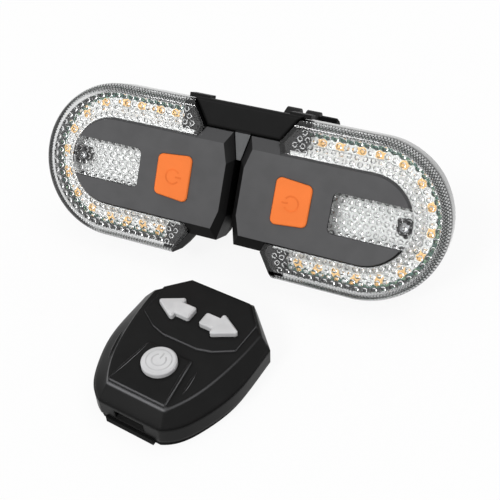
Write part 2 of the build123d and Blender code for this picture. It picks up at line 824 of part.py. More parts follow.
def remote_top_shell():
    """Upper shell with its raised arrow deck, front panel, key holes and screw bosses."""
    lower = Pos(0, 0, seam_height) * remote_outline(lower_outline_shares)
    upper = Pos(0, 0, deck_height - remote_edge) * remote_outline(upper_outline_shares)
    top = Pos(0, 0, deck_height) * remote_outline(upper_outline_shares, remote_edge)
    body = loft([lower, upper], ruled=True) + loft([upper, top], ruled=True)
    inner_lower = Pos(0, 0, seam_height) * remote_outline(lower_outline_shares, remote_wall)
    inner_upper = Pos(0, 0, deck_height - remote_wall) * remote_outline(
        upper_outline_shares, 2 * remote_wall)
    body -= loft([inner_lower, inner_upper], ruled=True)
    plateau = mirrored_polygon([(x * remote_half, y * remote_back) for x, y in plateau_shares], (-1, 1))
    body += slab(plateau, deck_height - remote_wall, deck_height + plateau_rise)
    panel = mirrored_polygon([(x * remote_half, y * remote_back) for x, y in panel_shares], (-1, 1))
    body += slab(panel, deck_height - remote_wall, deck_height + panel_rise)
    body += remote_posts(remote_post_radius, seam_height, deck_height - remote_wall)
    reach = deck_height + plateau_rise + overrun
    body -= slab(arrow_face(slip_gap), seam_height, reach)
    body -= slab(mirror(arrow_face(slip_gap), Plane.YZ), seam_height, reach)
    body -= slab(disc(round_key_radius + slip_gap), seam_height, reach)
    return body - remote_posts(remote_screw_radius, seam_height, deck_height - 2 * remote_wall)


def remote_lower_shell():
    """Lower shell with its floor, cell opening, screw posts and a recess in the front wall."""
    body = slab(remote_outline(lower_outline_shares), pad_thick, seam_height)
    body -= slab(remote_outline(lower_outline_shares, remote_wall), pad_thick + remote_wall,
                 seam_height + overrun)
    body += remote_posts(remote_post_radius, pad_thick, seam_height)
    front = lower_outline_shares[-1][1] * remote_back
    body -= block((-recess_half, front - overrun, recess_low), (recess_half, front + recess_depth, recess_high))
    body -= slab(disc(cell_radius + cell_gap, 0, cell_y), 0, seam_height)
    body -= remote_posts(remote_screw_radius + fit_gap, 0, deck_height)
    return body - remote_posts(remote_screw_head + fit_gap, 0, pad_thick + remote_screw_head_height)


def remote_pad():
    """Rubber pad under the remote, with a tab at its front and a hole for the battery cap."""
    plan = remote_outline(lower_outline_shares, pad_inset)
    front = lower_outline_shares[-1][1] * (remote_back - pad_inset)
    plan += patch((-pad_tab_half, front - pad_tab_reach), (pad_tab_half, 0))
    return slab(plan - disc(cap_radius + side_gap, 0, cell_y), 0, pad_thick)


def battery_cap():
    """Round cap under the coin cell, with a coin slot."""
    cap = slab(disc(cap_radius, 0, cell_y), cap_lift, cap_lift + cap_thick)
    slot = patch((-cap_slot_half, cell_y - cap_slot_width / 2), (cap_slot_half, cell_y + cap_slot_width / 2))
    return cap - slab(slot, 0, cap_lift + cap_slot_depth)


def coin_cell():
    """Coin cell over the cap."""
    low = cap_lift + cap_thick + fit_gap
    return slab(disc(cell_radius, 0, cell_y), low, low + cell_thick)


def cell_contact():
    """Spring strip between the coin cell and the board."""
    low = cap_lift + cap_thick + fit_gap + cell_thick
    return slab(patch((-contact_half, cell_y - contact_half), (contact_half, cell_y + contact_half)),
                low, remote_board_low)


def remote_board():
    """Board of the remote, narrower at its front."""
    points = [
        (remote_board_half, remote_board_back), (remote_board_half, remote_board_step),
        (remote_board_neck, 0), (remote_board_neck, -remote_board_front),
    ]
    return slab(mirrored_polygon(points, (-1, 1)), remote_board_low,
                remote_board_low + remote_board_thick)


def key_places():
    """Middle of each key's switch."""
    arrow_middle = (arrow_neck + arrow_start) / 2
    return [(arrow_middle, arrow_y), (-arrow_middle, arrow_y), (0, 0)]


def key_switches():
    """Three push switches on the remote's board."""
    low = remote_board_low + remote_board_thick
    body = slab(Rectangle(key_switch_size, key_switch_size), low, low + key_switch_height)
    body += slab(Circle(key_plunger_radius), low, low + key_switch_height + key_plunger_height)
    return Compound(children=[Pos(x, y, 0) * body for x, y in key_places()])


def key(face, flange, place):
    """A key through the top shell, held by its flange."""
    underside = deck_height - remote_wall - fit_gap
    cap = slab(face, underside, key_top)
    cap = chamfer(cap.faces().sort_by(Axis.Z)[-1].edges(), key_edge)
    low = underside - key_flange_thick
    plunger = remote_board_low + remote_board_thick + key_switch_height + key_plunger_height
    stem = slab(disc(key_plunger_radius, *place), plunger + key_travel + fit_gap, low)
    return cap + slab(flange, low, underside) + stem


def remote_screws():
    """Four screws under the remote."""
    one = screw(remote_screw_radius, remote_screw_head, remote_screw_head_height, pad_thick,
                deck_height - 2 * remote_wall)
    places = [(side * back_post_x, back_post_y) for side in (-1, 1)]
    places += [(side * front_post_x, front_post_y) for side in (-1, 1)]
    return Compound(children=[Pos(x, y, 0) * one for x, y in places])


def pod_pieces():
    """The pieces of one pod, in its own frame."""
    return {
        "front_cover": front_cover(), "lens": lens(), "rear_housing": rear_housing(), "seal": seal(),
        "main_board": main_board(), "led_board": led_board(), "leds": leds(),
        "reflector": reflector(), "battery": battery(), "button_switch": button_switch(),
        "power_button": power_button(), "case_screws": case_screws(), "usb_port": usb_port(),
        "usb_cover": usb_cover(),
    }


def light_pieces():
    """Both pods on their bracket, leaning back on the clamp."""
    pod = pod_pieces()
    pieces = {}
    for side, turn in (("right", 0), ("left", 180)):
        place = light_place * Rot(0, 0, turn) * Pos(half_gap, 0, 0)
        for name, piece in pod.items():
            pieces[f"{side}_{name}"] = place * piece
    pieces["bracket"] = light_place * bracket()
    pieces["tilt_bolt"] = light_place * tilt_bolt()
    pieces["tilt_nut"] = light_place * tilt_nut()
    return pieces


def clamp_pieces():
    """The seat-post clamp."""
    return {
        "clamp_ring": clamp_ring(), "clamp_liner": clamp_liner(), "clamp_screw": clamp_screw(),
        "clamp_nut": clamp_nut(),
    }


def remote_pieces():
    """The remote, lying in front of the light."""
    places = key_places()
    left_face = mirror(arrow_face(0), Plane.YZ)
    left_flange = mirror(arrow_face(key_flange), Plane.YZ)
    pieces = {
        "remote_top_shell": remote_top_shell(), "remote_lower_shell": remote_lower_shell(),
        "remote_pad": remote_pad(), "battery_cap": battery_cap(), "coin_cell": coin_cell(),
        "cell_contact": cell_contact(), "remote_board": remote_board(),
        "key_switches": key_switches(), "remote_screws": remote_screws(),
        "right_arrow_key": key(arrow_face(0), arrow_face(key_flange), places[0]),
        "left_arrow_key": key(left_face, left_flange, places[1]),
        "round_key": key(disc(round_key_radius), disc(round_key_radius + key_flange), places[2]),
    }
    return {name: remote_place * piece for name, piece in pieces.items()}


pieces = {**light_pieces(), **clamp_pieces(), **remote_pieces()}
whole = Compound(children=[Compound(piece.solids()) for piece in pieces.values()]).bounding_box()
shift = Pos(-(whole.min.X + whole.max.X) / 2, -(whole.min.Y + whole.max.Y) / 2, 0)
for name, piece in pieces.items():
    export_step(shift * piece, f"parts/{name}.step")
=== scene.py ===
import math

import bmesh
import bpy
import numpy as np
from mathutils import Matrix, Vector


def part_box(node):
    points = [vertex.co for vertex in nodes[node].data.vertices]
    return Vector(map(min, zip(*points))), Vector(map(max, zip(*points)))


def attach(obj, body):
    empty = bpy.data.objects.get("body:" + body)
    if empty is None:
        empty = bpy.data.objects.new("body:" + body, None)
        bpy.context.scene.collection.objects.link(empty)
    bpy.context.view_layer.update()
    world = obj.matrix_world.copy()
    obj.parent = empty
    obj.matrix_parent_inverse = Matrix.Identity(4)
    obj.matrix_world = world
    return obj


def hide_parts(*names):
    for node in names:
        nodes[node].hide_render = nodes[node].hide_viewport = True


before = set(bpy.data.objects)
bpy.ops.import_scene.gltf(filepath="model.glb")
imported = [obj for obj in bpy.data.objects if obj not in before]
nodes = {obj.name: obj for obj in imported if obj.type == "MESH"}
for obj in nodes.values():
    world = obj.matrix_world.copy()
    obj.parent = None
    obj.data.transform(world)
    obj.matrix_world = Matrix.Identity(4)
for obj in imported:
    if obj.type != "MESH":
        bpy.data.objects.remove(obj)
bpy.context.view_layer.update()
mm = 0.001

# Sizes in millimetres, as the pods are modelled. u runs outward along a pod, v up, z to the viewer.
lean = 30.5
lens_half = 28.5
lens_wall = 1.5
lens_drop = 1.2
bevel_width = 2.7
bevel_depth = 3.3
inner_bevel_depth = 2.5
parting = 13.0
cut_points = ((15.4, 12.3), (19.6, 10.6), (28.5, 16.5))
ring_inner = 16.25
outer_top_line = 22.5
outer_wall_line = -8.8
tongue_drop = 0.8
tongue_start = 33.05
tongue_half = 7.05
tongue_corner = 2.0
tongue_gap = 0.1
board_top = -8.0

# Levels of the lens's inner skin: its flat underside and the radius where its bevel starts
lens_under = -lens_drop - lens_wall
inner_knee = lens_half - bevel_width - lens_wall / 2

# Relief inside the lens: rows of round pips on the flat, small prisms on the bevel and the wall
pip_radius = 0.95
pip_height = 0.6
pip_pitch = 2.75
pip_row = 2.35
pip_rows = (17.5, 19.8, 22.1, 24.4)
pip_track = 21.0
pip_margin = 4.2
prism_height = 0.4
prism_steps = 4

# Small blocks: steps of a rounded corner, its least radius, and where the upper edge bends
corner_steps = 3
least_corner = 0.01
edge_bend = 0.3

# Fineness of the lens mesh
straight_steps = 100
turn_steps = 300
front_rows = 40
bevel_cells = 3
wall_cells = 7
edge_rows = 7
tongue_rows = 58
tongue_steps = 110
crease_angle = 32

# Lens faces with a finish of their own: slopes of the pip flanks, which get painted shade or a
# painted highlight, and the reach of the end walls, painted black as shade
flank_slope = (0.15, 0.75)
end_wall_lean = -0.3
end_wall_reach = 0.6

# Lamps on the board. Each window is a size and a top over the board.
led_pitch = 6.9
led_track = 21.8
straight_leds = 4
turn_leds = 7
package_size = (3.5, 2.8)
package_corner = 0.25
package_top = 0.95
window_foot = 0.9
window_corner = 0.4
window_forms = (((3.3, 2.0), 1.15), ((2.4, 2.7), 1.2))
lamp_edge = 0.15
pad_offset = 1.95
pad_size = (0.7, 2.2)
pad_corner = 0.1
pad_top = 0.35
small_edge = 0.08

# Resistors between the lamps, at two spots beside each lamp
resistor_spots = ((3.45, 0.9), (3.45, -1.2))
resistor_size = (1.0, 0.55)
resistor_top = 0.4

# White strip round the lamps and grey strip at the rim: inner and outer radius
strip_radius = (20.0, 23.3)
rim_radius = (24.6, 26.6)
strip_foot = 0.02
strip_top = 0.5
strip_turn = 3

# Black blocks that close the lens cavity at its ends
end_block_u = 20.0
end_block_gap = 1.7
end_block_v = (17.0, 26.6)
end_block_top = -3.7
end_block_foot = -12.6
end_block_edge = 0.06

# Power signs: ring radius, line width and the two ends of the bar
button_sign = (2.6, 0.7, (1.1, 3.4))
button_sign_u = 19.1
button_sign_z = 0.58
key_sign = (2.3, 0.55, (0.6, 3.0))
key_sign_z = -0.02
key_circle = (4.1, 0.45)
sign_height = 0.12
sign_gap = math.radians(70)
bar_tip = 0.1
sign_steps = 32
circle_steps = 48
bead_angles = [math.radians(a) for a in (0, 35, 90, 145, 180)]

# The remote's middle and turn, and the low ridges on its top shell, measured from its middle
remote_middle = (2.2, -64.9)
remote_turn = math.radians(-8.8)
side_ridges = (((11.6, 3.2), (12.5, -5.7)), ((-20.3, 7.0), (-17.1, -4.7)),
               ((8.0, 5.2), (10.3, -11.8)), ((-8.0, 5.2), (-10.3, -11.8)))
ridge_width = 0.9
ridge_height = 0.4
ridge_sink = 0.02
ridge_taper = 3
ridge_tip = 0.1
ridge_steps = 12
ridge_angles = [math.radians(a) for a in range(0, 181, 30)]

# Plate under the bracket's bar, between the pods
web_half = (0.75, 2.85)
web_v = (10.4, 19.8)
web_z = (-3.0, -2.7)
web_edge = 0.05

# Camera, solved from the photograph's corners, measured from the foot of the pods' middle
camera_spot = (91.8, -201.3, 208.4)
camera_aim = (3.3, 7.8, 0.0)
camera_roll = -1.77
camera_lens = 57.6
camera_sensor = 36.0
camera_near = 0.01

# Studio: suns as direction, strength and spread in degrees, the soft light and the floor
key_sun = ((0.29, 0.65, -0.65), 1.2, 18)
top_sun = ((-0.25, -0.2, -0.9), 0.6, 50)
soft_strength = 0.55
floor_size = 6.0
floor_patch = 0.4
floor_tones = ((0.3, 0.9), (0.7, 0.92))
floor_roughness = 0.9
floor_white = 0.9
white = (1, 1, 1, 1)

# Surface patterns: a noise's detail and range, mottling, grain, and how far the gloss swings
noise_detail = 2.0
noise_range = (0.3, 0.7)
mottle_size = 7.0
mottle_range = (0.35, 0.65)
grain_size = 0.25
grain_depth = 0.05
gloss_swing = 0.05

# The pods' front: how its grey fades to the dark sides, which are black and partly painted shade,
# and to a painted shade of deeper grey on upper edges
front_tip = 0.3
side_shade_fade = (0.95, 0.87)
painted_upper_fade = (0.15, 0.35)
painted_upper_shade = 0.72

# The remote's painted edge highlights: their height, and the leans between which they come and go
painted_highlight_foot = 9.4
painted_highlight_rise = 0.8
painted_highlight_from_wall = (0.2, 0.38)
painted_highlight_to_top = (0.66, 0.52)
painted_highlight_from_back = (0.45, 0.25)
painted_highlight_steep = (0.2, 0.62)

# Circuit boards: fields between the copper tracks, and the fine grain of the mask
field_size = 8.0
field_shade = 0.85
copper_share = 0.03
mask_grain = 0.5
mask_depth = 0.02
mask_strength = 0.2
mask_roughness = 0.35

# Lens plastic: refraction, size of its uneven patches, range of its roughness, and its shadow
lens_ior = 1.49
lens_patch = 4.0
lens_gloss = (0.02, 0.06)
lens_shadow = (0.88, 0.89, 0.89, 1)


def srgb(red, green, blue):
    """A colour written in 0 to 255, as the linear values that a material takes."""
    parts = [c / 255 for c in (red, green, blue)]
    return [p / 12.92 if p <= 0.04045 else ((p + 0.055) / 1.055) ** 2.4 for p in parts] + [1.0]


def scaled(colour, share):
    """A colour made lighter or darker."""
    return [min(c * share, 1.0) for c in colour[:3]] + [1.0]


# The light's place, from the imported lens
lens_low, lens_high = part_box("right_lens")
lean_sin, lean_cos = math.sin(math.radians(lean)), math.cos(math.radians(lean))
face_y = lens_high.y / mm - lens_half * lean_sin - parting * lean_cos
face_z = lens_low.z / mm + lens_half * lean_cos + parting * lean_sin
half_gap = lens_low.x / mm - cut_points[1][1]
end_u = lens_high.x / mm - half_gap - lens_half


def pod_place(side):
    """Matrix from a pod's own millimetres to the frame. The left pod is the right one turned."""
    across = Vector((side, 0, 0))
    up = Vector((0, side * lean_sin, side * lean_cos))
    out = Vector((0, -lean_cos, lean_sin))
    start = Vector((side * half_gap, face_y, face_z))
    turn = Matrix((across, up, out)).transposed().to_4x4()
    return Matrix.Scale(mm, 4) @ Matrix.Translation(start) @ turn


# Materials

def start_material(name):
    """A node material with its shader and the object's own coordinates."""
    material = bpy.data.materials.new(name)
    material.use_nodes = True
    tree = material.node_tree
    place = tree.nodes.new("ShaderNodeTexCoord").outputs["Object"]
    return material, tree, tree.nodes["Principled BSDF"], place


def noise(tree, place, size):
    """A noise pattern of about this size, in the coordinates' unit."""
    node = tree.nodes.new("ShaderNodeTexNoise")
    node.inputs["Scale"].default_value = 1 / size
    node.inputs["Detail"].default_value = noise_detail
    tree.links.new(place, node.inputs["Vector"])
    return node.outputs["Fac"]


def ramp(tree, value, stops):
    """Colours along a value."""
    node = tree.nodes.new("ShaderNodeValToRGB")
    while len(node.color_ramp.elements) < len(stops):
        node.color_ramp.elements.new(0.5)
    for element, (position, colour) in zip(node.color_ramp.elements, stops):
        element.position = position
        element.color = colour
    tree.links.new(value, node.inputs["Fac"])
    return node.outputs["Color"]


def remap(tree, value, start, end, low=0.0, high=1.0):
    """A value that goes from low to high between two marks."""
    node = tree.nodes.new("ShaderNodeMapRange")
    node.inputs["From Min"].default_value = start
    node.inputs["From Max"].default_value = end
    node.inputs["To Min"].default_value = low
    node.inputs["To Max"].default_value = high
    tree.links.new(value, node.inputs["Value"])
    return node.outputs["Result"]


def spread(tree, pattern, low, high):
    """A noise pattern moved to a range."""
    return remap(tree, pattern, *noise_range, low, high)


def maths(tree, operation, first, second):
    """Two values put together. The second may be a plain number."""
    node = tree.nodes.new("ShaderNodeMath")
    node.operation = operation
    tree.links.new(first, node.inputs[0])
    if isinstance(second, float):
        node.inputs[1].default_value = second
    else:
        tree.links.new(second, node.inputs[1])
    return node.outputs["Value"]


def facing(tree, normal, direction):
    """How far a surface's normal follows a direction."""
    node = tree.nodes.new("ShaderNodeVectorMath")
    node.operation = "DOT_PRODUCT"
    tree.links.new(normal, node.inputs[0])
    node.inputs[1].default_value = direction
    return node.outputs["Value"]


def blended(tree, share, first, second):
    """One colour turning into another."""
    node = tree.nodes.new("ShaderNodeMix")
    node.data_type = "RGBA"
    tree.links.new(share, node.inputs["Factor"])
    tree.links.new(first, node.inputs[6])
    node.inputs[7].default_value = second
    return node.outputs[2]


def mixed(tree, share, first, second, end):
    """One shader turning into another, joined to the end of the tree."""
    mix = tree.nodes.new("ShaderNodeMixShader")
    tree.links.new(share, mix.inputs["Fac"])
    tree.links.new(first, mix.inputs[1])
    tree.links.new(second, mix.inputs[2])
    tree.links.new(mix.outputs["Shader"], end.inputs["Surface"])


def soft_normal(tree, radius, samples):
    """The surface's normal with edges softened by a small radius."""
    bevel = tree.nodes.new("ShaderNodeBevel")
    bevel.samples = samples
    bevel.inputs["Radius"].default_value = radius * mm
    return bevel.outputs["Normal"]


def relief(tree, shader, height, depth, strength, edge):
    """Fine surface relief, on softened edges."""
    bump = tree.nodes.new("ShaderNodeBump")
    bump.inputs["Strength"].default_value = strength
    bump.inputs["Distance"].default_value = depth
    tree.links.new(height, bump.inputs["Height"])
    if edge:
        tree.links.new(soft_normal(tree, edge, 4), bump.inputs["Normal"])
    tree.links.new(bump.outputs["Normal"], shader.inputs["Normal"])


def painted_edge_highlight(tree, place, radius):
    """Share of painted highlight where a rounded upper edge leans halfway, strongest to the front
    and the sides.
    """
    x, y, z = (1.0, 0.0, 0.0), (0.0, 1.0, 0.0), (0.0, 0.0, 1.0)
    normal = soft_normal(tree, radius, 8)
    rise = facing(tree, normal, z)
    band = maths(tree, "MULTIPLY", remap(tree, rise, *painted_highlight_from_wall),
                 remap(tree, rise, *painted_highlight_to_top))
    height = facing(tree, place, z)
    upper = remap(tree, height, painted_highlight_foot * mm, (painted_highlight_foot + painted_highlight_rise) * mm)
    band = maths(tree, "MULTIPLY", band, upper)
    band = maths(tree, "MULTIPLY", band, remap(tree, facing(tree, normal, y), *painted_highlight_from_back))
    ways = []
    for axis in (x, y):
        way = facing(tree, normal, axis)
        ways.append(maths(tree, "MULTIPLY", way, way))
    steep = maths(tree, "MAXIMUM", *ways)
    return maths(tree, "MULTIPLY", band, remap(tree, steep, *painted_highlight_steep))


def moulded(name, colour, roughness, specular=0.3, unit=mm, strength=0.25, edge=0.3, mottle=0.08,
            metal=0.0, painted_highlight=None, dark_sides_and_shade=None):
    """A moulded or rolled surface: fine grain, faint mottling and uneven gloss; if asked, dark
    sides that are partly painted shade, painted shade on upper edges, and painted edge highlights.
    """
    material, tree, shader, place = start_material(name)
    broad = noise(tree, place, mottle_size * unit)
    shades = (scaled(colour, 1 - mottle), scaled(colour, 1 + mottle))
    base = ramp(tree, broad, list(zip(mottle_range, shades)))
    # Dark sides, black in part and painted shade in part; upper edges in a painted shade of the
    # front's grey
    if dark_sides_and_shade:
        normal = tree.nodes.new("ShaderNodeTexCoord").outputs["Normal"]
        toward = (0.0, front_tip * lean_sin - lean_cos, front_tip * lean_cos + lean_sin)
        base = blended(tree, remap(tree, facing(tree, normal, toward), *side_shade_fade), base, dark_sides_and_shade)
        upward = facing(tree, normal, (0.0, lean_sin, lean_cos))
        base = blended(tree, remap(tree, upward, *painted_upper_fade), base, scaled(colour, painted_upper_shade))
    # Painted highlight: a lighter colour on the edges where a reflection would catch
    if painted_highlight:
        base = blended(tree, painted_edge_highlight(tree, place, edge), base, painted_highlight)
    tree.links.new(base, shader.inputs["Base Color"])
    fine = noise(tree, place, grain_size * unit)
    gloss = spread(tree, fine, roughness - gloss_swing, roughness + gloss_swing)
    tree.links.new(gloss, shader.inputs["Roughness"])
    relief(tree, shader, fine, grain_depth * unit, strength, edge)
    shader.inputs["Specular IOR Level"].default_value = specular
    shader.inputs["Metallic"].default_value = metal
    return material


def small_finish(name, shade, roughness, specular, strength=0.2, metal=0.0):
    """A finish for a small piece that is modelled in millimetres."""
    return moulded(name, srgb(*shade), roughness, specular, unit=1.0, strength=strength, edge=0,
                   metal=metal)


def circuit(name, mask, copper):
    """Board with lighter tracks under the solder mask."""
    material, tree, shader, place = start_material(name)
    brick = tree.nodes.new("ShaderNodeTexBrick")
    brick.inputs["Scale"].default_value = 1 / (field_size * mm)
    brick.inputs["Mortar Size"].default_value = copper_share
    brick.inputs["Color1"].default_value = mask
    brick.inputs["Color2"].default_value = scaled(mask, field_shade)
    brick.inputs["Mortar"].default_value = copper
    tree.links.new(place, brick.inputs["Vector"])
    tree.links.new(brick.outputs["Color"], shader.inputs["Base Color"])
    relief(tree, shader, noise(tree, place, mask_grain * mm), mask_depth * mm, mask_strength, 0)
    shader.inputs["Roughness"].default_value = mask_roughness
    return material


def clear_plastic(name, colour):
    """Clear lens plastic with a faint unevenness, which lets lamp light through to the boards."""
    material, tree, shader, place = start_material(name)
    shader.inputs["Base Color"].default_value = colour
    shader.inputs["Transmission Weight"].default_value = 1.0
    shader.inputs["IOR"].default_value = lens_ior
    gloss = noise(tree, place, lens_patch)
    tree.links.new(spread(tree, gloss, *lens_gloss), shader.inputs["Roughness"])
    path = tree.nodes.new("ShaderNodeLightPath")
    open_way = tree.nodes.new("ShaderNodeBsdfTransparent")
    open_way.inputs["Color"].default_value = lens_shadow
    mixed(tree, path.outputs["Is Shadow Ray"], shader.outputs["BSDF"], open_way.outputs["BSDF"],
          tree.nodes["Material Output"])
    return material


finishes = {
    # The pods' front grey, with dark sides that are partly painted shade and painted shade on upper
    # edges
    "face_grey": moulded("face_grey", srgb(89, 89, 90), 0.45, 0.08, strength=0.35, edge=0.25,
                         mottle=0.05, dark_sides_and_shade=srgb(18, 18, 18)),
    "housing_black": moulded("housing_black", srgb(13, 13, 14), 0.55, 0.02),
    "lens_clear": clear_plastic("lens_clear", srgb(249, 249, 249)),
    "reflector_white": moulded("reflector_white", srgb(228, 229, 228), 0.3, 0.5, strength=0.1),
    "board_green": circuit("board_green", srgb(36, 88, 76), srgb(110, 140, 110)),
    "led_amber": small_finish("led_amber", (252, 198, 124), 0.35, 0.5, strength=0.1),
    "button_orange": moulded("button_orange", srgb(250, 131, 64), 0.5, 0.1, strength=0.3, edge=0.35,
                             mottle=0.02),
    "battery_wrap": moulded("battery_wrap", srgb(150, 152, 156), 0.35, 0.5),
    "steel": moulded("steel", srgb(180, 181, 184), 0.3, 0.5, strength=0.2, metal=1.0),
    "rubber_black": moulded("rubber_black", srgb(18, 18, 18), 0.75, 0.06, strength=0.5),
    "bracket_black": moulded("bracket_black", srgb(22, 22, 22), 0.5, 0.08, strength=0.3, edge=0.4),
    # The remote's black, with painted highlights on its edges
    "remote_black": moulded("remote_black", srgb(24, 24, 24), 0.35, 0.08, strength=0.2, edge=1.3,
                            painted_highlight=srgb(122, 122, 124)),
    "key_grey": moulded("key_grey", srgb(209, 209, 210), 0.5, 0.2, strength=0.2, edge=0.4),
}
# Dark tint on the pip flanks: painted shade at their steep rims
flank_painted_shade = clear_plastic("lens_flank", srgb(60, 61, 61))
outer_clear = clear_plastic("lens_outer", srgb(200, 201, 201))
# Opaque white on the pip flanks near the lens ends: painted highlight rings
pip_ring_highlight = small_finish("lens_frosted", (240, 241, 241), 0.4, 0.5, strength=0.1)
lamp_white = small_finish("lamp_white", (236, 234, 226), 0.4, 0.4, strength=0.1)
solder = small_finish("solder", (190, 192, 194), 0.3, 0.5, metal=1.0)
chip_black = small_finish("chip_black", (40, 40, 42), 0.4, 0.3)
rim_grey = small_finish("rim_grey", (50, 51, 51), 0.5, 0.2, strength=0.25)
mark_orange = small_finish("mark_orange", (243, 122, 56), 0.5, 0.1)
mark_grey = small_finish("mark_grey", (194, 194, 195), 0.5, 0.2)
web_grey = small_finish("web_grey", (104, 105, 106), 0.5, 0.15, strength=0.25)
# Ridge black, with painted highlights on its edges
ridge_black = moulded("ridge_black", srgb(24, 24, 24), 0.35, 0.08, edge=0.1,
                      painted_highlight=srgb(150, 150, 152))

for obj in nodes.values():
    for slot in obj.material_slots:
        slot.material = finishes[slot.material.name.split(".")[0]]


# Meshes

class Solids:
    """Points and faces of several small solids in one mesh."""

    def __init__(self):
        self.points = []
        self.faces = []

    def skin(self, rings, close=False):
        """A skin over rings of points, capped at both ends or joined end to end."""
        start, count = len(self.points), len(rings[0])
        for ring in rings:
            self.points += [tuple(p) for p in ring]
        last = len(rings) if close else len(rings) - 1
        for i in range(last):
            a = start + i * count
            b = start + (i + 1) % len(rings) * count
            for j in range(count):
                k = (j + 1) % count
                self.faces.append((a + j, a + k, b + k, b + j))
        if not close:
            self.faces.append(tuple(start + j for j in range(count)))
            self.faces.append(tuple(start + (len(rings) - 1) * count + j for j in range(count)))

    def rounded_block(self, centre, size, corner, low, high, edge, turn=0.0):
        """A flat block with rounded corners and a soft upper edge."""
        bend = edge * edge_bend
        layers = [(low, 0.0), (high - edge, 0.0), (high - bend, bend), (high, edge)]
        signs = ((1, 1), (-1, 1), (-1, -1), (1, -1))
        c, s = math.cos(turn), math.sin(turn)
        rings = []
        for z, inset in layers:
            radius = max(corner - inset, least_corner)
            ring = []
            for quarter, (sx, sy) in enumerate(signs):
                for part in range(corner_steps + 1):
                    angle = math.radians(90 * (quarter + part / corner_steps))
                    x = sx * (size[0] / 2 - inset - radius) + radius * math.cos(angle)
                    y = sy * (size[1] / 2 - inset - radius) + radius * math.sin(angle)
                    ring.append((centre[0] + x * c - y * s, centre[1] + x * s + y * c, z))
            rings.append(ring)
        self.skin(rings)


def add_mesh(name, solids, finish, body, place):
    """A shaded mesh that rides on a body."""
    mesh = bpy.data.meshes.new(name)
    mesh.from_pydata([tuple(p) for p in solids.points], [], solids.faces)
    form = bmesh.new()
    form.from_mesh(mesh)
    bmesh.ops.recalc_face_normals(form, faces=form.faces[:])
    form.to_mesh(mesh)
    form.free()
    mesh.polygons.foreach_set("use_smooth", [True] * len(mesh.polygons))
    mesh.set_sharp_from_angle(angle=math.radians(crease_angle))
    mesh.materials.append(finish)
    obj = bpy.data.objects.new(name, mesh)
    bpy.context.scene.collection.objects.link(obj)
    obj.matrix_world = place
    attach(obj, body)
    return obj


def cut_u(v):
    """Where the lens starts along the pod, at a distance from the pod's middle line."""
    return float(np.interp(abs(v), [p[0] for p in cut_points], [p[1] for p in cut_points]))


def pip(distance):
    """Height of a round pip at a distance from its middle."""
    ball = (pip_radius ** 2 + pip_height ** 2) / (2 * pip_height)
    inside = np.maximum(ball ** 2 - np.minimum(distance, ball) ** 2, 0)
    return np.maximum(np.sqrt(inside) - (ball - pip_height), 0)


def inner_profile():
    """The lens's inner skin across the track: radius, height, inward normal, prism level."""
    room, low = lens_half - lens_wall, lens_under - inner_bevel_depth
    rows = []
    for n in range(2 * wall_cells):
        z = -parting + (low + parting) * n / (2 * wall_cells)
        rows.append((room, z, -1.0, 0.0, n % 2))
    slope = Vector((inner_knee - room, lens_under - low)).normalized()
    for n in range(2 * bevel_cells):
        t = n / (2 * bevel_cells)
        rows.append((room + (inner_knee - room) * t, low + (lens_under - low) * t,
                     -slope.y, slope.x, n % 2))
    for n in range(front_rows + 1):
        rows.append((inner_knee + (ring_inner - inner_knee) * n / front_rows, lens_under,
                     0.0, -1.0, None))
    return rows


def outer_profile():
    """The lens's outer skin, from its inner edge over the rounded bevel to its foot."""
    rows = [(radius, -lens_drop) for radius in (ring_inner, cut_points[1][0], outer_top_line)]
    for n in range(edge_rows + 1):
        angle = math.radians(90 * n / edge_rows)
        rows.append((lens_half - bevel_width * (1 - math.sin(angle)),
                     -lens_drop - bevel_depth * (1 - math.cos(angle))))
    return rows + [(lens_half, outer_wall_line), (lens_half, -parting)]


def track(radius, start):
    """Points along one line of the ring, how far each lies along the pip track, and its scale."""
    run = np.arange(straight_steps) / straight_steps
    turn = np.radians(90 - 180 * np.arange(turn_steps + 1) / turn_steps)
    u = np.concatenate([start + (end_u - start) * run, end_u + radius * np.cos(turn),
                        start + (end_u - start) * run[::-1]])
    v = np.concatenate([np.full(straight_steps, radius), radius * np.sin(turn),
                        np.full(straight_steps, -radius)])
    first = u[:straight_steps] - end_u
    arc = pip_track * (math.pi / 2 - turn)
    last = pip_track * math.pi + end_u - u[-straight_steps:]
    scale = np.concatenate([np.ones(straight_steps), np.full(turn_steps + 1, radius / pip_track),
                            np.ones(straight_steps)])
    return u, v, np.concatenate([first, arc, last]), scale


def pip_relief(radius, run, scale):
    """Height of the pips along one line of the ring."""
    height = np.zeros(len(run))
    for n, row in enumerate(pip_rows):
        shift = 0.5 * (n % 2)
        centre = (np.round(run / pip_pitch - shift) + shift) * pip_pitch
        rise = pip(np.hypot((run - centre) * scale, radius - row))
        inside = np.minimum(centre, pip_track * math.pi - centre) + end_u
        height = np.maximum(height, np.where(inside > cut_u(row) + pip_margin, rise, 0))
    return height


def ring_lines():
    """Every line of the lens ring as an array of points, inner skin first."""
    lines = []
    for radius, z, out, up, level in inner_profile():
        u, v, run, scale = track(radius, cut_u(radius) + lens_wall)
        if level is None:
            height = pip_relief(radius, run, scale)
        else:
            phase = (np.arange(len(u)) / prism_steps + level / 2) % 1
            height = prism_height * (1 - np.abs(2 * phase - 1))
        grown = np.hypot(v, np.where(u > end_u, u - end_u, 0))
        share = 1 + out * height / np.maximum(grown, 1)
        new_u = np.where(u >= end_u, end_u + (u - end_u) * share, u)
        lines.append(np.stack([new_u, v * share, z + up * height], axis=1))
    for radius, z in outer_profile():
        u, v = track(radius, cut_u(radius))[:2]
        lines.append(np.stack([u, v, np.full(len(u), z)], axis=1))
    return lines


